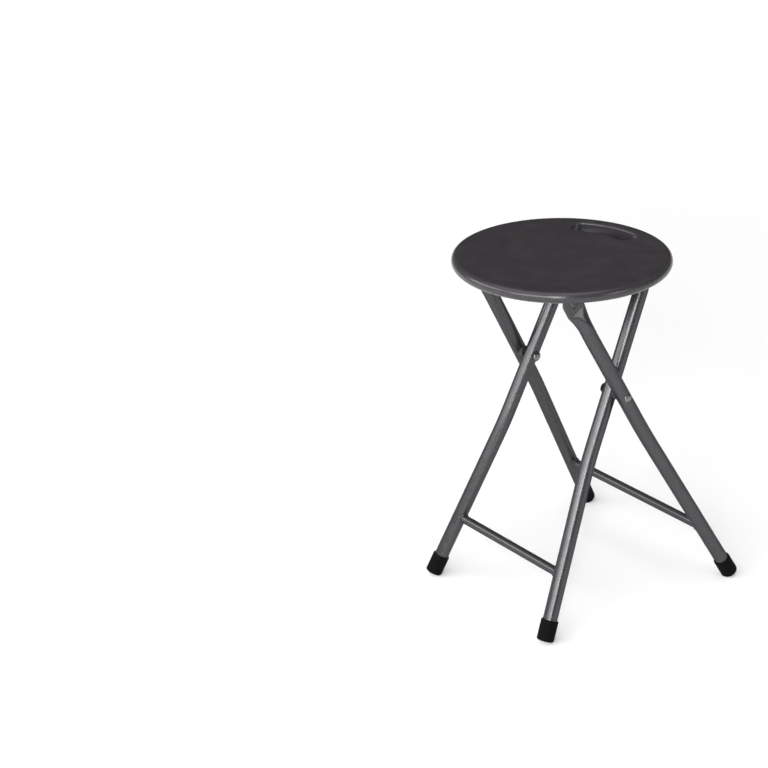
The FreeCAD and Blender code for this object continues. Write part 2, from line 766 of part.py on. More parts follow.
def make_pivots(outer_legs):
    """Rivets through the crossing legs, each with a spacer between the tubes and an inner washer.
    The rivets' outer heads are pressed onto the outer tubes."""
    tube_radius = "sizes.Tube_Diameter / 2"
    washer_face = f"layout.Inner_Pivot_Half - {tube_radius} - sizes.Splay_Gap"
    head_face = f"{washer_face} - sizes.Washer_Thickness"
    outer_face = f"layout.Outer_Pivot_Half + {tube_radius} - sizes.Rivet_Seat"
    for side, sign in SIDES:
        rivet = make_rivet(f"pivot_blank_{side}", sign, head_face, outer_face, PIVOT_Y, PIVOT_Z)
        keep(cut(f"pivot_rivet_{side}_seated", rivet, outer_legs[side]), f"pivot_rivet_{side}")
        washer = make_ring(
            f"pivot_washer_{side}", sign, head_face, "sizes.Washer_Thickness",
            "sizes.Washer_Diameter / 2", PIVOT_Y, PIVOT_Z,
        )
        keep(washer, f"pivot_washer_{side}")
        near_face = f"layout.Inner_Pivot_Half + {tube_radius} + sizes.Splay_Gap"
        sleeve = make_ring(
            f"pivot_spacer_{side}", sign, near_face, f"layout.Outer_Pivot_Half - ({near_face})",
            "sizes.Spacer_Diameter / 2", PIVOT_Y, PIVOT_Z,
        )
        core = leg_core(f"spacer_core_{side}", "Outer", sign, tube_radius, "upper")
        keep(cut(f"pivot_spacer_{side}_coped", sleeve, core), f"pivot_spacer_{side}")


def make_hinge():
    """The steel strap under the seat, with an ear, a rivet and a washer at each leg top."""
    body = new_body("hinge_strap")
    half = "layout.Ear_Face"
    inside = f"({half} - sizes.Strap_Thickness)"
    top = "layout.Under_Level - layout.Hinge_Height"
    under = f"{top} - sizes.Strap_Thickness"
    bend = "sizes.Strap_Bend"
    tip = "-sizes.Strap_Width / 2"
    right = (f"{half} - {bend}", f"{top} - {bend}")
    left = (f"-({half} - {bend})", f"{top} - {bend}")
    profile = new_sketch(body, "Profile", "XZ_Plane")
    closed_outline(
        profile,
        [
            (f"-{half}", left[1]),
            (left[0], top),
            (right[0], top),
            (half, right[1]),
            (half, tip),
            (inside, tip),
            (inside, right[1]),
            (right[0], under),
            (left[0], under),
            (f"-{inside}", left[1]),
            (f"-{inside}", tip),
            (f"-{half}", tip),
        ],
        {0: (left, "X"), 2: (right, "X"), 6: (right, "X"), 8: (left, "X")},
    )
    pad(body, "Strap", profile, "sizes.Strap_Width", midplane=True)
    cut_round_end(body, "EarEnd", "0", "sizes.Strap_Width / 2", False)
    cross_hole(body, "RivetHole", "0", "sizes.Rivet_Diameter / 2")
    holes = new_sketch(body, "ScrewHoles", "XY_Plane")
    for place in ("Inner", "Outer"):
        for sign in (1, -1):
            at = (f"{sign} * sizes.Strap_Screw_{place}", "0")
            add_circle(holes, "sizes.Screw_Diameter / 2 + sizes.Running_Fit", at)
    pocket_through(body, "ScrewHole", holes)
    keep(body, "hinge_strap", still(vector("0", HINGE_Y, HINGE_Z)))
    outer_face = "layout.Hinge_Half + sizes.Flat_Thickness / 2 + sizes.Free_Gap"
    for side, sign in SIDES:
        rivet = make_rivet(f"hinge_rivet_{side}", sign, inside, outer_face, HINGE_Y, HINGE_Z)
        keep(rivet, f"hinge_rivet_{side}")
        washer = make_ring(
            f"hinge_washer_{side}", sign, "layout.Ear_Face", "sizes.Washer_Thickness",
            "sizes.Washer_Diameter / 2", HINGE_Y, HINGE_Z,
        )
        keep(washer, f"hinge_washer_{side}")


def make_screws(name, places, head_level):
    """Pan-head screws driven up into the seat, as one node of separate solids."""
    screws = []
    for i, (x, y) in enumerate(places):
        at = still(vector(x, y, head_level))
        below = still(vector(x, y, f"{head_level} - sizes.Screw_Head_Height"))
        depth = f"layout.Under_Level - ({head_level}) + sizes.Screw_Grip"
        shank = cylinder(f"{name}_shank_{i}", "sizes.Screw_Diameter / 2", depth, at)
        head = doc.addObject("Part::Cone", f"{name}_head_{i}")
        head.setExpression("Radius1", "sizes.Screw_Face_Diameter / 2")
        head.setExpression("Radius2", "sizes.Screw_Head_Diameter / 2")
        head.setExpression("Height", "sizes.Screw_Head_Height")
        head.setExpression("Placement", below)
        screws.append(fuse(f"{name}_{i}", [shank, head]))
    keep(group(name, screws), name)


def make_bar_rest(side, sign):
    """A nylon block that sits on the inner frame's bar and stops it from spreading."""
    name = f"bar_rest_{side}"
    body = new_body(name)
    seat = "(sizes.Tube_Diameter / 2 + sizes.Free_Gap)"
    top = "(layout.Under_Level - layout.Bar_Height)"
    plate = f"{top} - sizes.Rest_Plate"
    roof = f"{seat} + sizes.Rest_Plate"
    stop = f"{seat} + sizes.Rest_Wall"
    lip = f"{seat} * cos(45)"
    step = "layout.Rest_Step"
    hook = "-sizes.Rest_Hook"
    profile = new_sketch(body, "Profile", "YZ_Plane")
    closed_outline(
        profile,
        [
            ("-sizes.Rest_Reach", top),
            (step, top),
            (step, roof),
            (stop, roof),
            (stop, hook),
            (seat, hook),
            (seat, "0"),
            ("0", seat),
            (f"-{lip}", lip),
            (f"-{lip} - sizes.Rest_Wall", plate),
            ("-sizes.Rest_Reach", plate),
        ],
        {6: (("0", "0"), "Y"), 7: (("0", "0"), "X")},
    )
    pad(body, "Block", profile, "sizes.Rest_Width", midplane=True)
    holes = new_sketch(body, "ScrewHoles", "XY_Plane")
    for half in (1, -1):
        at = (f"{half} * sizes.Rest_Screw_Half", "-sizes.Rest_Screw_Back")
        add_circle(holes, "sizes.Screw_Diameter / 2 + sizes.Running_Fit", at)
    pocket_through(body, "ScrewHole", holes)
    x = f"{sign} * sizes.Rest_Half"
    return keep(body, name, still(vector(x, "layout.Bar_Y", "layout.Bar_Height")))


REST_SCREWS = [
    (f"{sign} * sizes.Rest_Half + {half} * sizes.Rest_Screw_Half", "-sizes.Rest_Screw_Back")
    for sign in (1, -1)
    for half in (1, -1)
]
STRAP_SCREWS = [
    (f"{sign} * sizes.Strap_Screw_{place}", "0")
    for sign in (1, -1)
    for place in ("Inner", "Outer")
]


def slot_outline(sketch, grow):
    """The curved hand slot, concentric with the rim and grown by a margin."""
    inner_radius = f"layout.Slot_Inner_Radius - {grow}"
    outer_radius = f"layout.Slot_Outer_Radius + {grow}"
    end_radius = f"(layout.Slot_Outer_Radius - layout.Slot_Inner_Radius) / 2 + {grow}"
    middle = (number(inner_radius) + number(outer_radius)) / 2
    bounds = [f"(90 + sizes.Slot_Turn {side} sizes.Slot_Half_Span) * 1 deg" for side in "-+"]
    low, high = (math.radians(number(bound)) for bound in bounds)
    centres = [FreeCAD.Vector(middle * math.cos(turn), middle * math.sin(turn), 0) for turn in (low, high)]

    def add_turn(centre, radius, start, end):
        """An arc anticlockwise from one angle to the other."""
        circle = Part.Circle(centre, UP, number(radius))
        return sketch.addGeometry(Part.ArcOfCircle(circle, start, end), False)

    inner = add_turn(ORIGIN, inner_radius, low, high)
    outer = add_turn(ORIGIN, outer_radius, low, high)
    first = add_turn(centres[0], end_radius, low + math.pi, low + 2 * math.pi)
    last = add_turn(centres[1], end_radius, high, high + math.pi)
    for arc, radius in ((inner, inner_radius), (outer, outer_radius)):
        sketch.addConstraint(Sketcher.Constraint("Coincident", arc, 3, -1, 1))
        bind(sketch, "Radius", arc, radius)
    joints = ((inner, 1, first, 1), (outer, 1, first, 2), (outer, 2, last, 1), (inner, 2, last, 2))
    for joint in joints:
        sketch.addConstraint(Sketcher.Constraint("Tangent", *joint))
    for arc, centre, bound in ((first, centres[0], bounds[0]), (last, centres[1], bounds[1])):
        spoke = sketch.addGeometry(Part.LineSegment(ORIGIN, centre), True)
        sketch.addConstraint(Sketcher.Constraint("Coincident", spoke, 1, -1, 1))
        sketch.addConstraint(Sketcher.Constraint("Coincident", spoke, 2, arc, 3))
        bind(sketch, "Angle", spoke, bound)


def make_seat():
    """The moulded seat: a dished disc with a rolled rim, ribs and bosses below, and a hand slot."""
    body = new_body("seat_shell")
    rim = "layout.Rim_Radius"
    roll = "sizes.Rim_Thickness / 2"
    wall = "sizes.Seat_Wall"
    hollow = f"({roll} - {wall})"
    profile = new_sketch(body, "Profile", "XZ_Plane")
    sag = "sizes.Dish_Depth"
    under_radius = f"({rim} ^ 2 + {sag} ^ 2) / (2 * {sag})"
    closed_outline(
        profile,
        [
            ("0", "0"),
            (rim, "0"),
            (f"{rim} + {roll}", f"-{roll}"),
            (rim, f"-2 * {roll}"),
            (rim, f"-{roll} - {hollow}"),
            (f"{rim} + {hollow}", f"-{roll}"),
            (rim, f"-{wall}"),
            ("0", f"-{wall} - {sag}"),
        ],
        {
            1: ((rim, f"-{roll}"), "X"),
            2: ((rim, f"-{roll}"), "X"),
            4: ((rim, f"-{roll}"), "X"),
            5: ((rim, f"-{roll}"), "X"),
            6: (("0", f"-{wall} - {sag} + {under_radius}"), "X"),
        },
    )
    revolve(body, "Shell", profile, "V_Axis")
    level = "-sizes.Rib_Level"
    ring = new_sketch(body, "RibRing", "XY_Plane", level)
    add_circle(ring, "sizes.Rib_Ring_Radius")
    add_circle(ring, "sizes.Rib_Ring_Radius - sizes.Rib_Thickness")
    pad(body, "RibRingPad", ring, f"sizes.Rib_Level - {wall}")
    spoke = new_sketch(body, "RibSpoke", "XY_Plane", level)
    half = "sizes.Rib_Thickness / 2"
    start = "sizes.Rib_Ring_Radius - sizes.Rib_Thickness"
    closed_outline(spoke, [(start, f"-{half}"), (rim, f"-{half}"), (rim, half), (start, half)])
    rib = pad(body, "RibSpokePad", spoke, f"sizes.Rib_Level - {wall} + sizes.Rib_Root")
    pattern = body.newObject("PartDesign::PolarPattern", "RibSpokes")
    pattern.Originals = [rib]
    pattern.Axis = (profile, ["V_Axis"])
    pattern.Angle = 360
    pattern.setExpression("Occurrences", "sizes.Rib_Count")
    body.Tip = pattern
    doc.recompute()
    bosses = new_sketch(body, "Bosses", "XY_Plane", level)
    places = [(x, f"-layout.Hinge_Reach + {y}") for x, y in STRAP_SCREWS]
    places += [(x, f"layout.Bar_Reach + {y}") for x, y in REST_SCREWS]
    for place in places:
        add_circle(bosses, "sizes.Boss_Diameter / 2", place)
    pad(body, "BossPads", bosses, f"sizes.Rib_Level - {wall} + sizes.Rib_Root")
    skirt = new_sketch(body, "SlotSkirt", "XY_Plane", "-sizes.Skirt_Depth")
    slot_outline(skirt, "sizes.Skirt_Wall")
    pad(body, "SlotSkirtPad", skirt, f"sizes.Skirt_Depth - {wall} + sizes.Rib_Root")
    dish = new_sketch(body, "Dish", "XZ_Plane")
    closed_outline(
        dish,
        [("0", f"-{sag}"), (rim, "0"), (rim, wall), ("0", wall)],
        {0: (("0", f"-{sag} + {under_radius}"), "X")},
    )
    hollow_top = body.newObject("PartDesign::Groove", "DishCut")
    hollow_top.Profile = dish
    hollow_top.ReferenceAxis = (dish, ["V_Axis"])
    hollow_top.Angle = 360
    doc.recompute()
    slot = new_sketch(body, "Slot", "XY_Plane")
    slot_outline(slot, "0")
    cut_slot = pocket_through(body, "SlotCut", slot)
    low, high = number("layout.Slot_Inner_Radius"), number("layout.Slot_Outer_Radius")
    lip = []
    for i, edge in enumerate(cut_slot.Shape.Edges, start=1):
        if edge.Degenerated or edge.BoundBox.ZMin < -number(sag):
            continue
        reaches = [math.hypot(point.x, point.y) for point in edge.discretize(5)]
        if min(reaches) > low - TOLERANCE and max(reaches) < high + TOLERANCE:
            lip.append(f"Edge{i}")
    rounding = body.newObject("PartDesign::Fillet", "SlotLip")
    rounding.Base = (cut_slot, lip)
    rounding.setExpression("Radius", "sizes.Slot_Edge_Rounding")
    doc.recompute()
    pilot = new_sketch(body, "PilotHoles", "XY_Plane", level)
    for place in places:
        add_circle(pilot, "sizes.Screw_Diameter / 2 + sizes.Running_Fit", place)
    holes = body.newObject("PartDesign::Pocket", "PilotHole")
    holes.Profile = pilot
    holes.Reversed = True
    holes.setExpression("Length", "sizes.Screw_Grip")
    doc.recompute()
    return keep(body, "seat_shell", still(vector("0", "layout.Seat_Y", "sizes.Seat_Height")))


make_inner_frame()
outer_legs = {side: make_outer_leg(side, sign) for side, sign in SIDES}
for frame_name in ("Inner", "Outer"):
    make_crossbar(frame_name)
    for side, sign in SIDES:
        make_foot(frame_name, side, sign)
make_pivots(outer_legs)
make_hinge()
for side, sign in SIDES:
    make_bar_rest(side, sign)
make_screws(
    "strap_screws",
    [(x, f"layout.Hinge_Y + {y}") for x, y in STRAP_SCREWS],
    "layout.Under_Level - sizes.Strap_Thickness",
)
make_screws(
    "rest_screws",
    [(x, f"layout.Bar_Y + {y}") for x, y in REST_SCREWS],
    "layout.Under_Level - sizes.Rest_Plate",
)
make_seat()
doc.recompute()

for item in doc.Objects:
    if "Invalid" in item.State or "Error" in item.State:
        raise ValueError(f"{item.Label} has failed: {item.State}")
os.makedirs("parts", exist_ok=True)
for item in nodes:
    shape = item.Shape
    if shape.isNull() or not shape.isValid() or not shape.Solids:
        raise ValueError(f"{item.Label} has no valid shape")
    shape.exportStep(f"parts/{item.Label}.step")
    print(item.Label, len(shape.Solids), round(shape.Volume))
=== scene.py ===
import json
import math

import bmesh
import bpy
from mathutils import Matrix, Vector


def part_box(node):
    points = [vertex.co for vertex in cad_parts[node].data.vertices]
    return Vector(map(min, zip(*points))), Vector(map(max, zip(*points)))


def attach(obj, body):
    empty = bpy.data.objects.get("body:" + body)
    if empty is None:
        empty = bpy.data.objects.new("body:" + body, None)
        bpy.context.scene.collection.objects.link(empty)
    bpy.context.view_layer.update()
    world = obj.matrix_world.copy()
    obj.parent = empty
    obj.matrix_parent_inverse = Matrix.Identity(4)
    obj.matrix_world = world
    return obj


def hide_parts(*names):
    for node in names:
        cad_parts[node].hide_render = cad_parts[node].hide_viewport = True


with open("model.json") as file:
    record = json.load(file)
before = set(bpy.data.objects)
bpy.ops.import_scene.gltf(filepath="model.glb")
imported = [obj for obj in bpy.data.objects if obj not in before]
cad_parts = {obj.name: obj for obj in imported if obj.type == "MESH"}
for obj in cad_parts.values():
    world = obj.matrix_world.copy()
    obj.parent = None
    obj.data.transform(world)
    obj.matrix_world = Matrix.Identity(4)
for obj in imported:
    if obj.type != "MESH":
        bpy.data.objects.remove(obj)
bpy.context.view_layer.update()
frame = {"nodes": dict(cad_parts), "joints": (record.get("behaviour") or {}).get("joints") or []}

bl_info = {
    "name": "Folding round stool",
    "version": (1, 0, 0),
    "blender": (4, 5, 0),
    "location": "3D View > Sidebar > Stool",
    "description": "Builds the finished look of a round folding stool around its frame",
    "category": "Object",
}

MM = 0.001
SIDES = (("right", 1), ("left", -1))
JOINT_AT = {joint["name"]: Vector(joint["pos_m"]) for joint in frame["joints"]}
PIVOT = JOINT_AT["frame_fold"]
HINGE = JOINT_AT["seat_tilt"]
SEAT_LOW, SEAT_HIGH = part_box("seat_shell")
SEAT_CENTRE = Vector((0, (SEAT_LOW.y + SEAT_HIGH.y) / 2, SEAT_HIGH.z))
SEAT_RADIUS = (SEAT_HIGH.y - SEAT_LOW.y) / 2


# Shaping


def deselect_all():
    """The frame's nodes come in selected, so every operator starts from nothing selected."""
    bpy.ops.object.select_all(action="DESELECT")


def select_only(piece):
    deselect_all()
    piece.select_set(True)
    bpy.context.view_layer.objects.active = piece


def move_points(piece, places):
    """Puts the vertices of a new primitive at places, one each, in their order."""
    for vertex, place in zip(piece.data.vertices, places):
        vertex.co = place
    piece.data.update()


def sweep_rings(name, rings):
    """A skin drawn through rings of points by extruding each ring from the last.
    A ring drawn to one point closes as a pole, and a last ring like the first closes the loop."""
    deselect_all()
    bpy.ops.mesh.primitive_circle_add(vertices=len(rings[0]), radius=1)
    piece = bpy.context.object
    piece.name = name
    piece.location = (0, 0, 0)
    move_points(piece, rings[0])
    bpy.ops.object.mode_set(mode="EDIT")
    bpy.ops.mesh.select_all(action="SELECT")
    mesh = bmesh.from_edit_mesh(piece.data)
    mesh.verts.ensure_lookup_table()
    ring = list(mesh.verts)
    for places in rings[1:]:
        numbers = [vertex.index for vertex in ring]
        bpy.ops.mesh.extrude_edges_move()
        mesh = bmesh.from_edit_mesh(piece.data)
        mesh.verts.ensure_lookup_table()
        ring = []
        for number, place in zip(numbers, places):
            old = mesh.verts[number]
            grown = next(e.other_vert(old) for e in old.link_edges if e.other_vert(old).select)
            grown.co = place
            ring.append(grown)
        mesh.verts.index_update()
    bmesh.update_edit_mesh(piece.data)
    bpy.ops.mesh.select_all(action="SELECT")
    bpy.ops.mesh.remove_doubles(threshold=1e-6)
    bpy.ops.mesh.select_all(action="SELECT")
    bpy.ops.mesh.fill_holes(sides=0)
    bpy.ops.mesh.select_all(action="SELECT")
    bpy.ops.mesh.normals_make_consistent(inside=False)
    bpy.ops.object.mode_set(mode="OBJECT")
    return piece


def ring_at(centre, across, up, points):
    """Points given as (a, b) pairs, placed about a centre along two directions."""
    return [centre + across * a + up * b for a, b in points]


def arc_points(radius, start, sweep, count):
    """Points evenly spaced along an arc, its end left out."""
    turns = [start + sweep * i / count for i in range(count)]
    return [(radius * math.cos(turn), radius * math.sin(turn)) for turn in turns]


def circle_points(radius, count):
    return arc_points(radius, 0, 2 * math.pi, count)


def rounding_points(radius, steps):
    """A quarter round as (back, along) pairs: how far it stands back from the two faces it joins."""
    turns = [math.pi / 2 * i / steps for i in range(steps + 1)]
    return [(radius * (1 - math.sin(turn)), radius * (1 - math.cos(turn))) for turn in turns]


def join(name, pieces):
    """One piece of several, under a new name."""
    deselect_all()
    for piece in pieces:
        piece.select_set(True)
    bpy.context.view_layer.objects.active = pieces[0]
    if len(pieces) > 1:
        bpy.ops.object.join()
    joined = bpy.context.object
    joined.name = name
    return joined


def combine(piece, tool, operation):
    """Adds or cuts a closed tool, which is used up."""
    select_only(piece)
    modifier = piece.modifiers.new("Combine", "BOOLEAN")
    modifier.object = tool
    modifier.operation = operation
    modifier.solver = "EXACT"
    modifier.use_self = True
    bpy.ops.object.modifier_apply(modifier=modifier.name)
    bpy.data.objects.remove(tool)
    return piece


def smooth(piece, degrees=38):
    select_only(piece)
    bpy.ops.object.shade_smooth_by_angle(angle=math.radians(degrees))
    return piece


def dress(piece, body, slot, material, *nodes):
    """Gives a finished piece its material, the body that it rides on and the nodes it stands for."""
    piece.data.materials.clear()
    piece.data.materials.append(material)
    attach(piece, body)
    if nodes:
        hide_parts(*nodes)
    return piece


def finish_nodes(material, *nodes):
    """Gives nodes of the frame, whose shapes are right, their material."""
    for name in nodes:
        mesh = frame["nodes"][name].data
        mesh.materials.clear()
        mesh.materials.append(material)


# Materials


class Shader:
    """A short way to add and link the nodes of one tree."""

    def __init__(self, tree):
        self.tree = tree

    def add(self, kind, values=None, **settings):
        node = self.tree.nodes.new(kind)
        for key, value in settings.items():
            setattr(node, key, value)
        for key, value in (values or {}).items():
            self.put(node.inputs[key], value)
        return node

    def put(self, socket, value):
        if isinstance(value, bpy.types.NodeSocket):
            self.tree.links.new(value, socket)
        else:
            socket.default_value = value

    def maths(self, operation, a, b=0.0, clamp=False):
        node = self.add("ShaderNodeMath", operation=operation, use_clamp=clamp)
        self.put(node.inputs[0], a)
        self.put(node.inputs[1], b)
        return node.outputs[0]

    def spread(self, value, low, high, to_low=0.0, to_high=1.0):
        node = self.add(
            "ShaderNodeMapRange",
            {"From Min": low, "From Max": high, "To Min": to_low, "To Max": to_high},
            interpolation_type="SMOOTHSTEP",
        )
        self.put(node.inputs["Value"], value)
        return node.outputs["Result"]

    def noise(self, vector, scale, detail=2.0, roughness=0.5):
        values = {"Vector": vector, "Scale": scale, "Detail": detail, "Roughness": roughness}
        return self.add("ShaderNodeTexNoise", values).outputs["Fac"]

    def roughen(self, base, height, strength, depth):
        """Raises the surface by a height from 0 to about 1, in the shading alone."""
        values = {"Height": height, "Strength": strength, "Distance": depth}
        self.put(base["Normal"], self.add("ShaderNodeBump", values).outputs["Normal"])

    def mix(self, factor, first, second):
        node = self.add("ShaderNodeMix", data_type="RGBA")
        self.put(node.inputs["Factor"], factor)
        for socket, value in ((node.inputs[6], first), (node.inputs[7], second)):
            self.put(socket, value)
        return node.outputs[2]


def new_group(name, inputs, outputs):
    """A shader node group with named inputs, (name, kind, default), and outputs, (name, kind)."""
    tree = bpy.data.node_groups.new(name, "ShaderNodeTree")
    for title, kind, default in inputs:
        socket = tree.interface.new_socket(title, in_out="INPUT", socket_type=kind)
        socket.default_value = default
    for title, kind in outputs:
        tree.interface.new_socket(title, in_out="OUTPUT", socket_type=kind)
    shader = Shader(tree)
    return shader, shader.add("NodeGroupInput").outputs, shader.add("NodeGroupOutput").inputs


FLOAT = "NodeSocketFloat"
DUST_COLOUR = (0.3, 0.29, 0.28, 1.0)
DARK_DUST_COLOUR = (0.25, 0.24, 0.23, 1.0)


def grain_group():
    """A fine moulded or sprayed grain: a height, and a patchiness that comes with it."""
    shader, given, out = new_group(
        "Fine grain",
        [("Size", FLOAT, 0.6 * MM), ("Patch Size", FLOAT, 30 * MM)],
        [("Height", FLOAT), ("Patches", FLOAT)],
    )
    place = shader.add("ShaderNodeTexCoord").outputs["Object"]
    scale = shader.maths("DIVIDE", 1.0, given["Size"])
    patch_scale = shader.maths("DIVIDE", 1.0, given["Patch Size"])
    pebbles = shader.add("ShaderNodeTexVoronoi", {"Vector": place, "Scale": scale}, feature="SMOOTH_F1")
    fine = shader.noise(place, shader.maths("MULTIPLY", scale, 1.7), 2.0)
    height = shader.maths("ADD", pebbles.outputs["Distance"], shader.maths("MULTIPLY", fine, 0.5))
    shader.put(out["Height"], height)
    patches = shader.noise(place, patch_scale, 3.0, 0.55)
    shader.put(out["Patches"], shader.spread(patches, 0.3, 0.7))
    return shader.tree


def handling_group():
    """Marks of use: thin scratches and faint smudges, as masks from 0 to 1."""
    shader, given, out = new_group(
        "Handling marks",
        [("Scratch Size", FLOAT, 20 * MM), ("Smudge Size", FLOAT, 50 * MM)],
        [("Scratches", FLOAT), ("Smudges", FLOAT)],
    )
    place = shader.add("ShaderNodeTexCoord").outputs["Object"]
    masks = []
    for turn, stretch in ((0.5, 24.0), (2.1, 30.0)):
        turned = shader.add("ShaderNodeMapping", {"Vector": place, "Rotation": (0.2, turn, turn)})
        turned.inputs["Scale"].default_value = (1.0, stretch, 1.0)
        scale = shader.maths("DIVIDE", 1.0, given["Scratch Size"])
        lines = shader.noise(turned.outputs["Vector"], scale, 1.0)
        masks.append(shader.spread(lines, 0.68, 0.74))
    both = shader.maths("MAXIMUM", masks[0], masks[1])
    shader.put(out["Scratches"], both)
    smudges = shader.noise(place, shader.maths("DIVIDE", 1.0, given["Smudge Size"]), 4.0, 0.6)
    shader.put(out["Smudges"], shader.spread(smudges, 0.45, 0.75))
    return shader.tree


def dust_group():
    """Dust that settles on what faces up, thicker in patches."""
    shader, given, out = new_group("Dust", [("Amount", FLOAT, 0.2)], [("Mask", FLOAT)])
    normal = shader.add("ShaderNodeNewGeometry").outputs["Normal"]
    up = shader.add("ShaderNodeSeparateXYZ", {"Vector": normal}).outputs["Z"]
    place = shader.add("ShaderNodeTexCoord").outputs["Object"]
    patches = shader.spread(shader.noise(place, 40.0, 4.0, 0.6), 0.35, 0.75)
    facing = shader.spread(up, 0.2, 1.0)
    mask = shader.maths("MULTIPLY", facing, patches)
    shader.put(out["Mask"], shader.maths("MULTIPLY", mask, given["Amount"]))
    return shader.tree


def use_group(shader, tree, **values):
    node = shader.add("ShaderNodeGroup", node_tree=tree)
    for title, value in values.items():
        shader.put(node.inputs[title.replace("_", " ")], value)
    return node.outputs


def new_material(name):
    """A material with its tree emptied but for the Principled BSDF."""
    material = bpy.data.materials.new(name)
    material.use_nodes = True
    shader = Shader(material.node_tree)
    return material, shader, material.node_tree.nodes["Principled BSDF"].inputs


def seen_or_mirrored(shader):
    """1 for what is seen directly, mirrored or through glass, and 0 for light that falls on things."""
    path = shader.add("ShaderNodeLightPath").outputs
    seen = shader.maths("MAXIMUM", path["Is Camera Ray"], path["Is Glossy Ray"])
    return shader.maths("MAXIMUM", seen, path["Is Transmission Ray"])


def grey(colour, factor):
    return (colour[0] * factor, colour[1] * factor, colour[2] * factor, 1.0)


def plastic_material(look, groups):
    """Moulded charcoal plastic with a fine pebble grain, matt on the flat top and glossier on the rim."""
    material, shader, base = new_material("Charcoal plastic")
    colour = look.seat_colour
    grain = use_group(shader, groups["grain"], Size=0.9 * MM, Patch_Size=60 * MM)
    marks = use_group(shader, groups["handling"], Scratch_Size=12 * MM, Smudge_Size=50 * MM)
    dust = use_group(shader, groups["dust"], Amount=0.03)
    tint = shader.mix(grain["Patches"], grey(colour, 0.94), grey(colour, 1.05))
    tint = shader.mix(shader.maths("MULTIPLY", marks["Scratches"], 0.12), tint, grey(colour, 2.2))
    shader.put(base["Base Color"], shader.mix(dust["Mask"], tint, DUST_COLOUR))
    normal = shader.add("ShaderNodeNewGeometry").outputs["Normal"]
    up = shader.add("ShaderNodeSeparateXYZ", {"Vector": normal}).outputs["Z"]
    flat = shader.spread(up, 0.8, 0.98)
    rough = shader.spread(marks["Smudges"], 0.0, 1.0, look.rim_roughness, look.rim_roughness + 0.08)
    matt = look.top_roughness - look.rim_roughness
    shader.put(base["Roughness"], shader.maths("ADD", rough, shader.maths("MULTIPLY", flat, matt)))
    shader.put(base["Specular IOR Level"], shader.spread(flat, 0.0, 1.0, 0.5, 0.1))
    shader.roughen(base, grain["Height"], 0.12, 0.08 * MM)
    return material


def paint_material(look, groups):
    """Gunmetal paint with fine metal flake, baked onto steel tube; its colour is darkened towards the
    tube's outline as painted shade.
    """
    material, shader, base = new_material("Gunmetal paint")
    colour = look.tube_colour
    grain = use_group(shader, groups["grain"], Size=1.6 * MM, Patch_Size=50 * MM)
    marks = use_group(shader, groups["handling"], Scratch_Size=10 * MM, Smudge_Size=30 * MM)
    dust = use_group(shader, groups["dust"], Amount=0.05)
    place = shader.add("ShaderNodeTexCoord").outputs["Object"]
    flakes_per_metre = 4200.0
    flake = shader.spread(shader.noise(place, flakes_per_metre, 1.0), 0.42, 0.62)
    tint = shader.mix(flake, grey(colour, 0.86), grey(colour, 1.16))
    tint = shader.mix(shader.maths("MULTIPLY", grain["Patches"], 0.35), tint, grey(colour, 0.9))
    tint = shader.mix(shader.maths("MULTIPLY", marks["Scratches"], 0.2), tint, grey(colour, 1.8))
    tint = shader.mix(dust["Mask"], tint, DUST_COLOUR)
    # Painted shade: the base colour darkens to 0.3 of the tube colour where the surface turns away from
    # view, along the tube's outline.
    painted_shade_facing = shader.add("ShaderNodeLayerWeight", {"Blend": 0.35}).outputs["Facing"]
    edge = shader.spread(painted_shade_facing, 0.6, 1.0)
    shader.put(base["Base Color"], shader.mix(edge, tint, grey(colour, 0.3)))
    rough = shader.spread(marks["Smudges"], 0.0, 1.0, look.tube_roughness, look.tube_roughness + 0.07)
    shader.put(base["Roughness"], rough)
    base["Metallic"].default_value = 0.8
    base["Specular IOR Level"].default_value = 0.3
    base["Specular Tint"].default_value = (0.3, 0.3, 0.3, 1)
    shader.roughen(base, grain["Height"], 0.1, 0.06 * MM)
    return material


def steel_material(name, colour, groups, roughness):
    """Zinc plated steel, faintly cloudy, with handling marks."""
    material, shader, base = new_material(name)
    grain = use_group(shader, groups["grain"], Size=1.1 * MM, Patch_Size=6 * MM)
    marks = use_group(shader, groups["handling"], Scratch_Size=6 * MM, Smudge_Size=8 * MM)
    tint = shader.mix(grain["Patches"], grey(colour, 0.85), grey(colour, 1.1))
    tint = shader.mix(shader.maths("MULTIPLY", marks["Scratches"], 0.4), tint, grey(colour, 1.4))
    shader.put(base["Base Color"], tint)
    shader.put(base["Roughness"], shader.spread(marks["Smudges"], 0.0, 1.0, roughness, roughness + 0.15))
    base["Metallic"].default_value = 1.0
    shader.roughen(base, grain["Height"], 0.08, 0.05 * MM)
    return material


def dark_material(name, colour, groups, roughness, shine, grain_size, grain_strength, dusty):
    """Rubber or nylon: matt, slightly mottled, dusty where it faces up."""
    material, shader, base = new_material(name)
    grain = use_group(shader, groups["grain"], Size=grain_size, Patch_Size=8 * MM)
    dust = use_group(shader, groups["dust"], Amount=dusty)
    tint = shader.mix(grain["Patches"], grey(colour, 0.8), grey(colour, 1.3))
    shader.put(base["Base Color"], shader.mix(dust["Mask"], tint, DARK_DUST_COLOUR))
    shader.put(base["Roughness"], shader.spread(grain["Patches"], 0.0, 1.0, roughness, roughness + 0.12))
    base["Specular IOR Level"].default_value = shine
    shader.roughen(base, grain["Height"], grain_strength, 0.1 * MM)
    return material


MATERIALS = {}


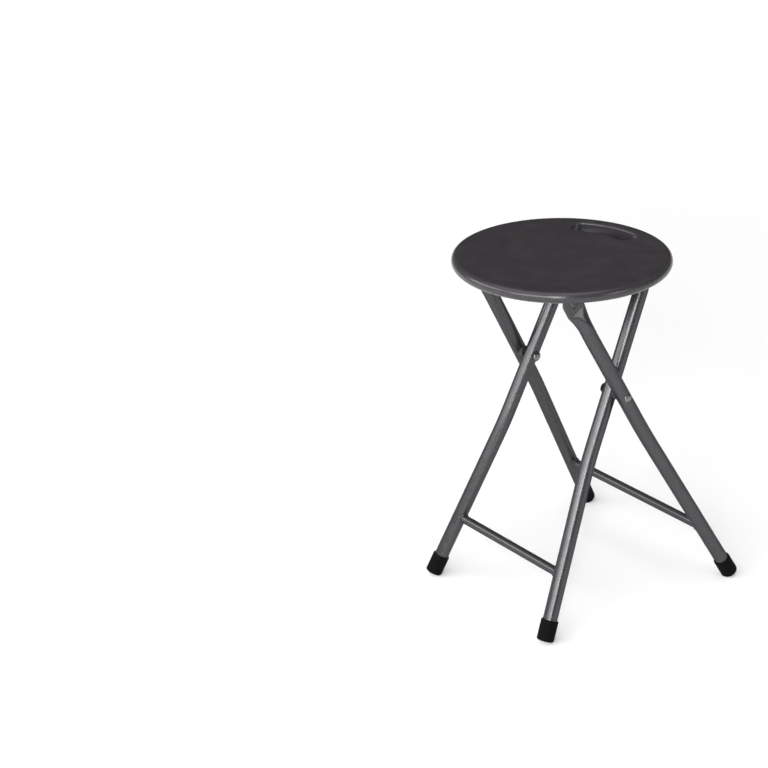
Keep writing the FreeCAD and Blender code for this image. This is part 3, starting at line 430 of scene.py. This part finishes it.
def make_materials(look):
    groups = {"grain": grain_group(), "handling": handling_group(), "dust": dust_group()}
    MATERIALS["plastic"] = plastic_material(look, groups)
    MATERIALS["paint"] = paint_material(look, groups)
    MATERIALS["rivet"] = steel_material("Rivet steel", (0.2, 0.2, 0.205), groups, roughness=0.26)
    MATERIALS["strap"] = steel_material("Strap steel", (0.5, 0.5, 0.51), groups, roughness=0.38)
    MATERIALS["screw"] = steel_material("Screw steel", (0.6, 0.6, 0.61), groups, roughness=0.28)
    nylon = {"shine": 0.25, "grain_size": 0.7 * MM, "grain_strength": 0.15, "dusty": 0.02}
    rubber = {"shine": 0.06, "grain_size": 0.9 * MM, "grain_strength": 0.3, "dusty": 0}
    MATERIALS["nylon"] = dark_material(
        "Black nylon", (0.012, 0.012, 0.013), groups, roughness=0.38, **nylon,
    )
    MATERIALS["grey nylon"] = dark_material(
        "Grey nylon", (0.03, 0.03, 0.031), groups, roughness=0.4, **nylon,
    )
    MATERIALS["rubber"] = dark_material(
        "Black rubber", (0.003, 0.003, 0.0032), groups, roughness=0.6, **rubber,
    )


# Settings that a user would change


class StoolLook(bpy.types.PropertyGroup):
    """Colours and finishes of the stool."""

    seat_colour: bpy.props.FloatVectorProperty(
        name="Seat colour", description="Moulded plastic of the seat", subtype="COLOR",
        size=3, min=0, max=1, default=(0.031, 0.028, 0.031),
    )
    rim_roughness: bpy.props.FloatProperty(
        name="Rim roughness", description="How matt the seat's rim is",
        subtype="FACTOR", min=0, max=1, default=0.24,
    )
    top_roughness: bpy.props.FloatProperty(
        name="Top roughness", description="How matt the seat's top is",
        subtype="FACTOR", min=0, max=1, default=0.62,
    )
    tube_colour: bpy.props.FloatVectorProperty(
        name="Tube colour", description="Paint of the two frames", subtype="COLOR",
        size=3, min=0, max=1, default=(0.086, 0.083, 0.088),
    )
    tube_roughness: bpy.props.FloatProperty(
        name="Tube roughness", description="How matt the paint is",
        subtype="FACTOR", min=0, max=1, default=0.27,
    )


class SeatShape(bpy.types.PropertyGroup):
    """Sizes of the moulded seat."""

    rim_radius: bpy.props.FloatProperty(
        name="Rim radius", description="Half the thickness of the rolled rim",
        unit="LENGTH", default=7.5 * MM,
    )
    wall: bpy.props.FloatProperty(
        name="Wall", description="Thickness of the moulding", unit="LENGTH", default=3.2 * MM,
    )
    dish: bpy.props.FloatProperty(
        name="Dish", description="Depth of the seat's hollow at its centre",
        unit="LENGTH", default=3 * MM,
    )
    slot_margin: bpy.props.FloatProperty(
        name="Slot margin", description="From the slot to the top of the rim",
        unit="LENGTH", default=12.5 * MM,
    )
    slot_width: bpy.props.FloatProperty(
        name="Slot width", description="Width of the hand slot", unit="LENGTH", default=27 * MM,
    )
    slot_half_span: bpy.props.FloatProperty(
        name="Slot half span", description="Half the angle between the slot's round ends",
        unit="ROTATION", default=math.radians(18.2),
    )
    slot_turn: bpy.props.FloatProperty(
        name="Slot turn", description="How far the slot lies to one side of the fold's middle",
        unit="ROTATION", default=math.radians(15.5),
    )
    skirt_depth: bpy.props.FloatProperty(
        name="Skirt depth", description="How far the slot's wall hangs below the top",
        unit="LENGTH", default=17.2 * MM,
    )
    skirt_wall: bpy.props.FloatProperty(
        name="Skirt wall", description="Thickness of the slot's wall", unit="LENGTH", default=3 * MM,
    )
    lip_radius: bpy.props.FloatProperty(
        name="Lip radius", description="Rounding of the slot's top edge",
        unit="LENGTH", default=2.5 * MM,
    )
    rib_level: bpy.props.FloatProperty(
        name="Rib level", description="How far the ribs reach below the top",
        unit="LENGTH", default=8.5 * MM,
    )
    rib_count: bpy.props.IntProperty(
        name="Rib count", description="Number of spokes under the seat", min=0, default=10,
    )
    rib_ring: bpy.props.FloatProperty(
        name="Rib ring", description="Radius of the ring that the spokes start from",
        unit="LENGTH", default=58 * MM,
    )


class FrameShape(bpy.types.PropertyGroup):
    """Sizes of the tube frames that the caps and the welds follow."""

    tube_radius: bpy.props.FloatProperty(
        name="Tube radius", description="Outer radius of the legs", unit="LENGTH", default=9.5 * MM,
    )
    bar_radius: bpy.props.FloatProperty(
        name="Crossbar radius", description="Outer radius of the crossbars",
        unit="LENGTH", default=6 * MM,
    )
    inner_foot_half: bpy.props.FloatProperty(
        name="Inner foot half width", description="Leg centre to the middle at the floor",
        unit="LENGTH", default=116 * MM,
    )
    inner_bend_half: bpy.props.FloatProperty(
        name="Inner bend half width", description="Leg centre to the middle at the bend",
        unit="LENGTH", default=82.5 * MM,
    )
    inner_bend_height: bpy.props.FloatProperty(
        name="Inner bend height", description="Height of the inner legs' bend",
        unit="LENGTH", default=214 * MM,
    )
    outer_foot_half: bpy.props.FloatProperty(
        name="Outer foot half width", description="Leg centre to the middle at the floor",
        unit="LENGTH", default=143 * MM,
    )
    outer_bend_half: bpy.props.FloatProperty(
        name="Outer bend half width", description="Leg centre to the middle at the bend",
        unit="LENGTH", default=104.7 * MM,
    )
    outer_bend_height: bpy.props.FloatProperty(
        name="Outer bend height", description="Height of the outer legs' bend",
        unit="LENGTH", default=242 * MM,
    )
    cap_radius: bpy.props.FloatProperty(
        name="Cap radius", description="Outer radius of the foot caps",
        unit="LENGTH", default=11.4 * MM,
    )
    cap_length: bpy.props.FloatProperty(
        name="Cap length", description="Length of the foot caps", unit="LENGTH", default=28 * MM,
    )
    cap_floor: bpy.props.FloatProperty(
        name="Cap floor", description="Thickness of the caps' closed end",
        unit="LENGTH", default=4 * MM,
    )
    cap_contact: bpy.props.FloatProperty(
        name="Cap contact", description="How much the caps' edge is worn flat",
        unit="LENGTH", default=0.8 * MM,
    )


# Where the legs run


def frame_line(which):
    """A frame's point in the middle of its feet, and its direction up the frame's plane."""
    if which == "outer":
        rise = HINGE - PIVOT
    else:
        _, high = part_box("inner_frame_tube")
        radius = bpy.context.scene.stool_frame.tube_radius
        rise = Vector((0, high.y - radius - PIVOT.y, high.z - radius - PIVOT.z))
    up = Vector((0, rise.y, rise.z)).normalized()
    foot = Vector((0, PIVOT.y - up.y / up.z * PIVOT.z, 0))
    return foot, up


def leg_line(which, side):
    """A leg's straight lower run: where its axis meets the floor, and its direction."""
    shape = bpy.context.scene.stool_frame
    foot, up = frame_line(which)
    foot_half = getattr(shape, f"{which}_foot_half")
    bend_half = getattr(shape, f"{which}_bend_half")
    bend = foot + up * (getattr(shape, f"{which}_bend_height") / up.z)
    start = Vector((side * foot_half, foot.y, 0))
    direction = (Vector((side * bend_half, bend.y, bend.z)) - start).normalized()
    return start, direction


# The pieces


def rounded_end(reach, at, radius, start, count):
    """Points of the half circle that closes one end of the hand slot."""
    x, y = reach * math.cos(at), reach * math.sin(at)
    return [(x + a, y + b) for a, b in arc_points(radius, start, math.pi, count)]


def slot_outline(shape, grow, count=28):
    """Points round the hand slot's outline, grown by a margin, about the seat's centre."""
    outer = SEAT_RADIUS - shape.rim_radius - shape.slot_margin + grow
    inner = outer - shape.slot_width - 2 * grow
    end_radius = (outer - inner) / 2
    middle = (outer + inner) / 2
    centre = math.pi / 2 + shape.slot_turn
    low, high = centre - shape.slot_half_span, centre + shape.slot_half_span
    return (
        arc_points(outer, low, high - low, count)
        + rounded_end(middle, high, end_radius, high, count)
        + arc_points(inner, high, low - high, count)
        + rounded_end(middle, low, end_radius, low + math.pi, count)
    )


def dish_level(shape, reach):
    """Height of the seat's hollow at a distance from its centre, below the top of the rim."""
    edge = SEAT_RADIUS - shape.rim_radius
    return -shape.dish * (1 - min(reach / edge, 1) ** 2)


def on_seat(points, level, follow=None):
    """Outline points set at a level below the seat's top, or following the dish where follow is given."""
    placed = []
    for x, y in points:
        lift = dish_level(follow, math.hypot(x, y)) if follow else 0
        placed.append(SEAT_CENTRE + Vector((x, y, level + lift)))
    return placed


def seat_skin(shape, count=180):
    """The dished disc with its rolled rim, drawn from the top's centre round to the underside's."""
    edge = SEAT_RADIUS - shape.rim_radius
    hollow = shape.rim_radius - shape.wall
    fillet = shape.wall * 0.45
    profile = [(edge * i / 26, dish_level(shape, edge * i / 26)) for i in range(27)]
    for i in range(1, 21):
        turn = math.pi * i / 20
        level = shape.rim_radius * (math.cos(turn) - 1)
        profile.append((edge + shape.rim_radius * math.sin(turn), level))
    lip_middle = -2 * shape.rim_radius + shape.wall / 2
    for i in range(1, 8):
        turn = math.pi * i / 8
        profile.append((edge - fillet * math.sin(turn), lip_middle - shape.wall / 2 * math.cos(turn)))
    for i in range(13):
        turn = math.pi * (12 - i) / 12
        profile.append((edge + hollow * math.sin(turn), -shape.rim_radius + hollow * math.cos(turn)))
    for i in range(1, 27):
        reach = edge * (26 - i) / 26
        profile.append((reach, dish_level(shape, reach) - shape.wall))
    rings = []
    for reach, level in profile:
        rings.append(on_seat(circle_points(reach, count), level))
    return sweep_rings("seat", rings)


def seat_ribs(shape):
    """The ring, the spokes and the screw bosses under the seat, as closed shapes sunk in the shell."""
    top, bottom = -3.2 * MM, -shape.rib_level
    soft, half, boss_radius = 0.4 * MM, 1 * MM, 4.5 * MM
    edge = SEAT_RADIUS - shape.rim_radius
    parts = []
    rings = []
    for reach, level in (
        (shape.rib_ring - 2 * half, top),
        (shape.rib_ring - 2 * half, bottom + soft),
        (shape.rib_ring - 2 * half + soft, bottom),
        (shape.rib_ring - soft, bottom),
        (shape.rib_ring, bottom + soft),
        (shape.rib_ring, top),
        (shape.rib_ring - 2 * half, top),
    ):
        rings.append(on_seat(circle_points(reach, 96), level))
    parts.append(sweep_rings("rib_ring", rings))
    start, end = shape.rib_ring - half, edge + 1 * MM
    for i in range(shape.rib_count):
        angle = 2 * math.pi * i / shape.rib_count
        along = Vector((math.cos(angle), math.sin(angle), 0))
        across = Vector((-along.y, along.x, 0))
        rings = []
        for level, side in ((top, half), (bottom + soft, half), (bottom, half - soft)):
            corners = [(start, side), (start, -side), (end, -side), (end, side)]
            rings.append(ring_at(SEAT_CENTRE + Vector((0, 0, level)), along, across, corners))
        parts.append(sweep_rings(f"rib_{i}", rings))
    for name in ("strap_screws", "rest_screws"):
        for centre in screw_places(name):
            rings = []
            steps = ((boss_radius, top), (boss_radius, bottom + soft), (boss_radius - soft, bottom))
            for radius, level in steps:
                at = Vector((centre.x, centre.y, SEAT_CENTRE.z + level))
                rings.append(ring_at(at, Vector((1, 0, 0)), Vector((0, 1, 0)), circle_points(radius, 32)))
            parts.append(sweep_rings("boss", rings))
    return parts


def screw_places(name):
    """Where a group of screws stands: the middle of each of its solids, and the level of its head."""
    mesh = bmesh.new()
    mesh.from_mesh(frame["nodes"][name].data)
    bmesh.ops.remove_doubles(mesh, verts=mesh.verts, dist=1e-6)
    left = set(mesh.verts)
    places = []
    while left:
        island, queue = set(), [left.pop()]
        while queue:
            vertex = queue.pop()
            island.add(vertex)
            for edge in vertex.link_edges:
                other = edge.other_vert(vertex)
                if other in left:
                    left.remove(other)
                    queue.append(other)
        corners = [vertex.co for vertex in island]
        low = Vector([min(c[k] for c in corners) for k in range(3)])
        high = Vector([max(c[k] for c in corners) for k in range(3)])
        places.append(Vector(((low.x + high.x) / 2, (low.y + high.y) / 2, low.z)))
    mesh.free()
    return sorted(places, key=lambda place: (round(place.x, 4), round(place.y, 4)))


class STOOL_OT_seat(bpy.types.Operator):
    """Build the moulded seat with its rim, hand slot, ribs and bosses"""

    bl_idname = "stool.seat"
    bl_label = "Seat"

    def execute(self, context):
        shape = context.scene.stool_seat
        soft, flare, past = 0.6 * MM, 0.7 * MM, 1 * MM
        seat = seat_skin(shape)
        parts = seat_ribs(shape)
        skirt = [
            on_seat(slot_outline(shape, shape.skirt_wall), -shape.wall + soft, shape),
            on_seat(slot_outline(shape, shape.skirt_wall), -shape.skirt_depth + soft),
            on_seat(slot_outline(shape, shape.skirt_wall - soft), -shape.skirt_depth),
        ]
        parts.append(sweep_rings("skirt", skirt))
        combine(seat, join("under", parts), "UNION")
        lip = shape.lip_radius
        rings = [
            on_seat(slot_outline(shape, flare), -shape.skirt_depth - past),
            on_seat(slot_outline(shape, flare), -shape.skirt_depth),
            on_seat(slot_outline(shape, 0), -shape.skirt_depth + flare),
        ]
        steps = 6
        for i in range(steps + 1):
            turn = math.pi / 2 * i / steps
            grow = lip * (1 - math.cos(turn))
            rings.append(on_seat(slot_outline(shape, grow), lip * (math.sin(turn) - 1), shape))
        rings.append(on_seat(slot_outline(shape, lip * 1.02), 2 * past, shape))
        combine(seat, sweep_rings("slot_cut", rings), "DIFFERENCE")
        smooth(seat)
        dress(seat, "seat", "seat_plastic", MATERIALS["plastic"], "seat_shell")
        return {"FINISHED"}


class STOOL_OT_feet(bpy.types.Operator):
    """Build the four fluted foot caps, worn flat where they stand"""

    bl_idname = "stool.feet"
    bl_label = "Foot caps"

    def execute(self, context):
        shape = context.scene.stool_frame
        flutes, per_flute = 18, 8
        count = flutes * per_flute
        flute_depth, flute_end, band = 0.55 * MM, 2 * MM, 2.6 * MM
        radius, rounding, lip = shape.cap_radius, 3 * MM, 1 * MM
        bore = shape.tube_radius + 0.05 * MM
        bottom, top = -shape.cap_floor, shape.cap_length - shape.cap_floor
        profile = [(bottom, 0), (bottom, radius * 0.4)]
        profile += [(bottom + along, radius - back) for back, along in rounding_points(rounding, 6)]
        levels = (0, 0.5, 1, 1.6, 2.4, 6, 10, 14, 18, 19.4, 20.2, 20.8, 21.4)
        profile += [(level * MM, radius) for level in levels]
        profile += [(top - back, radius - along) for back, along in rounding_points(lip, 6)]
        profile += [(top, bore), (top - 6 * MM, bore), (0, bore), (0, 0)]
        for which in ("inner", "outer"):
            for side_name, side in SIDES:
                start, direction = leg_line(which, side)
                lean = direction.angle(Vector((0, 0, 1)))
                lift = (
                    ((radius - rounding) * math.sin(lean) + rounding - shape.cap_contact) / math.cos(lean)
                    - rounding + shape.cap_floor
                )
                across = Vector((0, 1, 0)).cross(direction).normalized()
                up = direction.cross(across)
                rings = []
                for level, reach in profile:
                    rise, fall = level / flute_end, (top - band - level) / flute_end
                    fade = min(max(rise, 0), 1) * min(max(fall, 0), 1)
                    fluted = fade if reach == radius else 0
                    points = []
                    for k in range(count):
                        turn = 2 * math.pi * k / count
                        groove = max(math.cos(flutes * turn), 0) ** 3
                        out = reach - flute_depth * groove * fluted
                        points.append((out * math.cos(turn), out * math.sin(turn)))
                    ring = ring_at(start + direction * (lift + level), across, up, points)
                    rings.append([Vector((p.x, p.y, max(p.z, 0))) for p in ring])
                foot = smooth(sweep_rings(f"foot_cap_{which}_{side_name}", rings), 50)
                node = f"foot_{which}_{side_name}"
                dress(foot, f"{which}_frame", "foot_rubber", MATERIALS["rubber"], node)
        return {"FINISHED"}


class STOOL_OT_welds(bpy.types.Operator):
    """Build the rippled weld beads round the ends of the crossbars"""

    bl_idname = "stool.welds"
    bl_label = "Welds"

    def execute(self, context):
        shape = context.scene.stool_frame
        for which in ("inner", "outer"):
            low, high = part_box(f"{which}_crossbar")
            centre = (low + high) / 2
            beads = []
            for _, side in SIDES:
                start, direction = leg_line(which, side)
                axis = start + direction * (centre.z / direction.z)
                beads.append(sweep_rings("bead", self.bead(shape, axis, direction, side)))
            bead = smooth(join(f"{which}_welds", beads), 60)
            dress(bead, f"{which}_frame", "tube_paint", MATERIALS["paint"], f"{which}_weld_beads")
        return {"FINISHED"}

    def bead(self, shape, axis, direction, side):
        """Rings along the line where a crossbar's skin meets the leg's."""
        rings, count, sunk = [], 72, 0.25 * MM
        for i in range(count + 1):
            turn = 2 * math.pi * i / count
            out = Vector((0, math.sin(turn), math.cos(turn)))
            a, b = shape.bar_radius * out.y, shape.bar_radius * out.z
            along = a * direction.y + b * direction.z
            p = 1 - direction.x ** 2
            q = -2 * direction.x * along
            r = a * a + b * b - along ** 2 - shape.tube_radius ** 2
            reach = (-q - side * math.sqrt(q * q - 4 * p * r)) / (2 * p)
            inward = Vector((-side, 0, 0))
            ripple = abs(math.sin(5.5 * turn + 0.35 * math.sin(3 * turn)))
            size = (1.35 + 0.35 * ripple + 0.12 * math.sin(2 * turn + side)) * MM
            middle = Vector((axis.x + reach, axis.y + a, axis.z + b)) + (out + inward) * sunk
            rings.append(ring_at(middle, out, inward, circle_points(size, 14)))
        return rings


class STOOL_OT_screws(bpy.types.Operator):
    """Build the cross-slotted screws under the seat"""

    bl_idname = "stool.screws"
    bl_label = "Screws"

    def execute(self, context):
        model = self.screw()
        for name in ("strap_screws", "rest_screws"):
            copies = []
            for i, place in enumerate(screw_places(name)):
                copy = model.copy()
                copy.data = model.data.copy()
                context.scene.collection.objects.link(copy)
                copy.data.transform(Matrix.Rotation(0.7 * i + 0.3, 4, "Z"))
                copy.data.transform(Matrix.Translation(place))
                copies.append(copy)
            group = smooth(join(f"{name}_heads", copies), 40)
            dress(group, "seat", "screw_steel", MATERIALS["screw"], name)
        bpy.data.objects.remove(model)
        return {"FINISHED"}

    def screw(self):
        """A pan head with a cross recess, its face down, and the shank above it."""
        head, rise, shank, length = 3.7 * MM, 2.2 * MM, 1.75 * MM, 7 * MM
        rounding, edge = 1.2 * MM, 0.1 * MM
        profile = [(0, 0), (head * 0.45, edge / 5)]
        profile += [(head - back, edge + along) for back, along in rounding_points(rounding, 8)]
        profile += [(head, rise - edge), (head - edge, rise), (shank, rise), (shank, length), (0, length)]
        rings = []
        for reach, level in profile:
            centre = Vector((0, 0, level))
            rings.append(ring_at(centre, Vector((1, 0, 0)), Vector((0, 1, 0)), circle_points(reach, 40)))
        screw = sweep_rings("screw", rings)
        for turn in (0, math.pi / 2):
            along = Vector((math.cos(turn), math.sin(turn), 0))
            across = Vector((-along.y, along.x, 0))
            slot = []
            for level, reach, half in ((-1, 2.0, 0.42), (0.02, 2.0, 0.42), (1.4, 0.9, 0.3)):
                corners = [(reach, half), (-reach, half), (-reach, -half), (reach, -half)]
                corners = [(a * MM, b * MM) for a, b in corners]
                slot.append(ring_at(Vector((0, 0, level * MM)), along, across, corners))
            combine(screw, sweep_rings("recess", slot), "DIFFERENCE")
        return screw


class STOOL_OT_frames(bpy.types.Operator):
    """Finish the tubes, rivets, spacers, strap and rests that the frame already holds"""

    bl_idname = "stool.frames"
    bl_label = "Frames and fittings"

    def execute(self, context):
        finish_nodes(
            MATERIALS["paint"],
            "inner_frame_tube", "outer_leg_left", "outer_leg_right", "inner_crossbar", "outer_crossbar",
        )
        for side_name, _ in SIDES:
            finish_nodes(MATERIALS["rivet"], f"pivot_rivet_{side_name}")
            finish_nodes(MATERIALS["paint"], f"hinge_rivet_{side_name}")
            for node in ("pivot_spacer", "pivot_washer"):
                finish_nodes(MATERIALS["grey nylon"], f"{node}_{side_name}")
            for node in ("hinge_washer", "bar_rest"):
                finish_nodes(MATERIALS["nylon"], f"{node}_{side_name}")
        finish_nodes(MATERIALS["strap"], "hinge_strap")
        return {"FINISHED"}


# The stage: each lamp's name, place, size and power, and the camera that the view was measured for


FLOOR_SIZE = 30
LAMPS = (
    ("key", (0.87, -2.66, 1.5), (2.4, 1.3), 62),
    ("left", (-1.6, -2.3, 1.5), (2.4, 1.3), 40),
    ("strip", (1.95, -2.02, 1.3), (0.25, 1.5), 32),
    ("side", (2.75, 0.75, 1.2), (1.2, 0.7), 11),
)
LAMP_AIM = 0.28
SKY_LIGHT = 1.35
ROOM_LIGHT = 0.2
CAMERA_PLACE = (1.72331, -1.58344, 1.33467)
CAMERA_TURN = (65.7834, 1.5559, 52.947)
CAMERA_LENS = 91.0935


class STOOL_OT_stage(bpy.types.Operator):
    """Set the floor, the lights and the camera"""

    bl_idname = "stool.stage"
    bl_label = "Stage"

    def execute(self, context):
        deselect_all()
        bpy.ops.mesh.primitive_plane_add(size=FLOOR_SIZE, location=(0, 0, 0))
        floor = context.object
        floor.name = "floor"
        floor.data.materials.append(self.floor_material())
        self.world(context.scene)
        for name, place, size, power in LAMPS:
            self.lamp(name, place, size, power)
        self.sky_lamp()
        self.camera(context.scene)
        return {"FINISHED"}

    def floor_material(self):
        """White where it is seen or mirrored, with the stool's shadow kept, and clear from below."""
        material, shader, base = new_material("White floor")
        base["Base Color"].default_value = (0.8, 0.8, 0.8, 1)
        base["Roughness"].default_value = 0.9
        base["Specular IOR Level"].default_value = 0
        base["Emission Color"].default_value = (1, 1, 1, 1)
        place = shader.add("ShaderNodeTexCoord").outputs["Object"]
        away = shader.add("ShaderNodeVectorMath", {0: place}, operation="LENGTH").outputs["Value"]
        glow = shader.spread(away, 0.3, 3.5, to_low=0.2, to_high=0.5)
        shader.put(base["Emission Strength"], shader.maths("MULTIPLY", seen_or_mirrored(shader), glow))
        nodes = material.node_tree.nodes
        below = shader.add("ShaderNodeNewGeometry").outputs["Backfacing"]
        mixer = shader.add("ShaderNodeMixShader", {0: below})
        shader.put(mixer.inputs[1], nodes["Principled BSDF"].outputs[0])
        shader.put(mixer.inputs[2], shader.add("ShaderNodeBsdfTransparent").outputs[0])
        shader.put(nodes["Material Output"].inputs["Surface"], mixer.outputs[0])
        return material

    def world(self, scene):
        world = bpy.data.worlds.new("Studio")
        world.use_nodes = True
        scene.world = world
        light = world.node_tree.nodes["Background"]
        light.inputs["Color"].default_value = (1, 1, 1, 1)
        light.inputs["Strength"].default_value = ROOM_LIGHT

    def lamp(self, name, place, size, power):
        deselect_all()
        bpy.ops.object.light_add(type="AREA", location=place)
        lamp = bpy.context.object
        lamp.name = name
        lamp.data.shape = "RECTANGLE"
        lamp.data.size, lamp.data.size_y = size
        lamp.data.energy = power
        aim = Vector((0, 0, LAMP_AIM)) - Vector(place)
        lamp.rotation_euler = aim.to_track_quat("-Z", "Y").to_euler()

    def sky_lamp(self):
        """A wide soft light from above, even over the whole floor."""
        deselect_all()
        bpy.ops.object.light_add(type="SUN", location=(0, 0, 3))
        lamp = bpy.context.object
        lamp.name = "sky"
        lamp.data.angle = math.radians(70)
        lamp.data.energy = SKY_LIGHT
        lamp.rotation_euler = (math.radians(12), 0, 0)

    def camera(self, scene):
        deselect_all()
        bpy.ops.object.camera_add(location=CAMERA_PLACE)
        camera = bpy.context.object
        camera.rotation_euler = [math.radians(angle) for angle in CAMERA_TURN]
        camera.data.lens = CAMERA_LENS
        camera.data.sensor_width = 36
        scene.camera = camera
        scene.view_settings.view_transform = "Standard"


class STOOL_PT_panel(bpy.types.Panel):
    """Lists the stool's settings and the pieces that can be built."""

    bl_idname = "STOOL_PT_panel"
    bl_label = "Folding stool"
    bl_space_type = "VIEW_3D"
    bl_region_type = "UI"
    bl_category = "Stool"

    def draw(self, context):
        for settings in (context.scene.stool_look, context.scene.stool_seat, context.scene.stool_frame):
            for key in settings.__annotations__:
                self.layout.prop(settings, key)
        for operator in PIECES:
            self.layout.operator(operator.bl_idname)


SETTINGS = {"stool_look": StoolLook, "stool_seat": SeatShape, "stool_frame": FrameShape}
PIECES = (
    STOOL_OT_frames, STOOL_OT_seat, STOOL_OT_feet, STOOL_OT_welds, STOOL_OT_screws, STOOL_OT_stage,
)


def register():
    for kind in (*SETTINGS.values(), *PIECES, STOOL_PT_panel):
        bpy.utils.register_class(kind)
    for name, kind in SETTINGS.items():
        setattr(bpy.types.Scene, name, bpy.props.PointerProperty(type=kind))


def unregister():
    for name in SETTINGS:
        delattr(bpy.types.Scene, name)
    for kind in (STOOL_PT_panel, *reversed(PIECES), *SETTINGS.values()):
        bpy.utils.unregister_class(kind)


def main():
    register()
    make_materials(bpy.context.scene.stool_look)
    for operator in PIECES:
        group, name = operator.bl_idname.split(".")
        getattr(getattr(bpy.ops, group), name)()


if __name__ == "__main__":
    main()
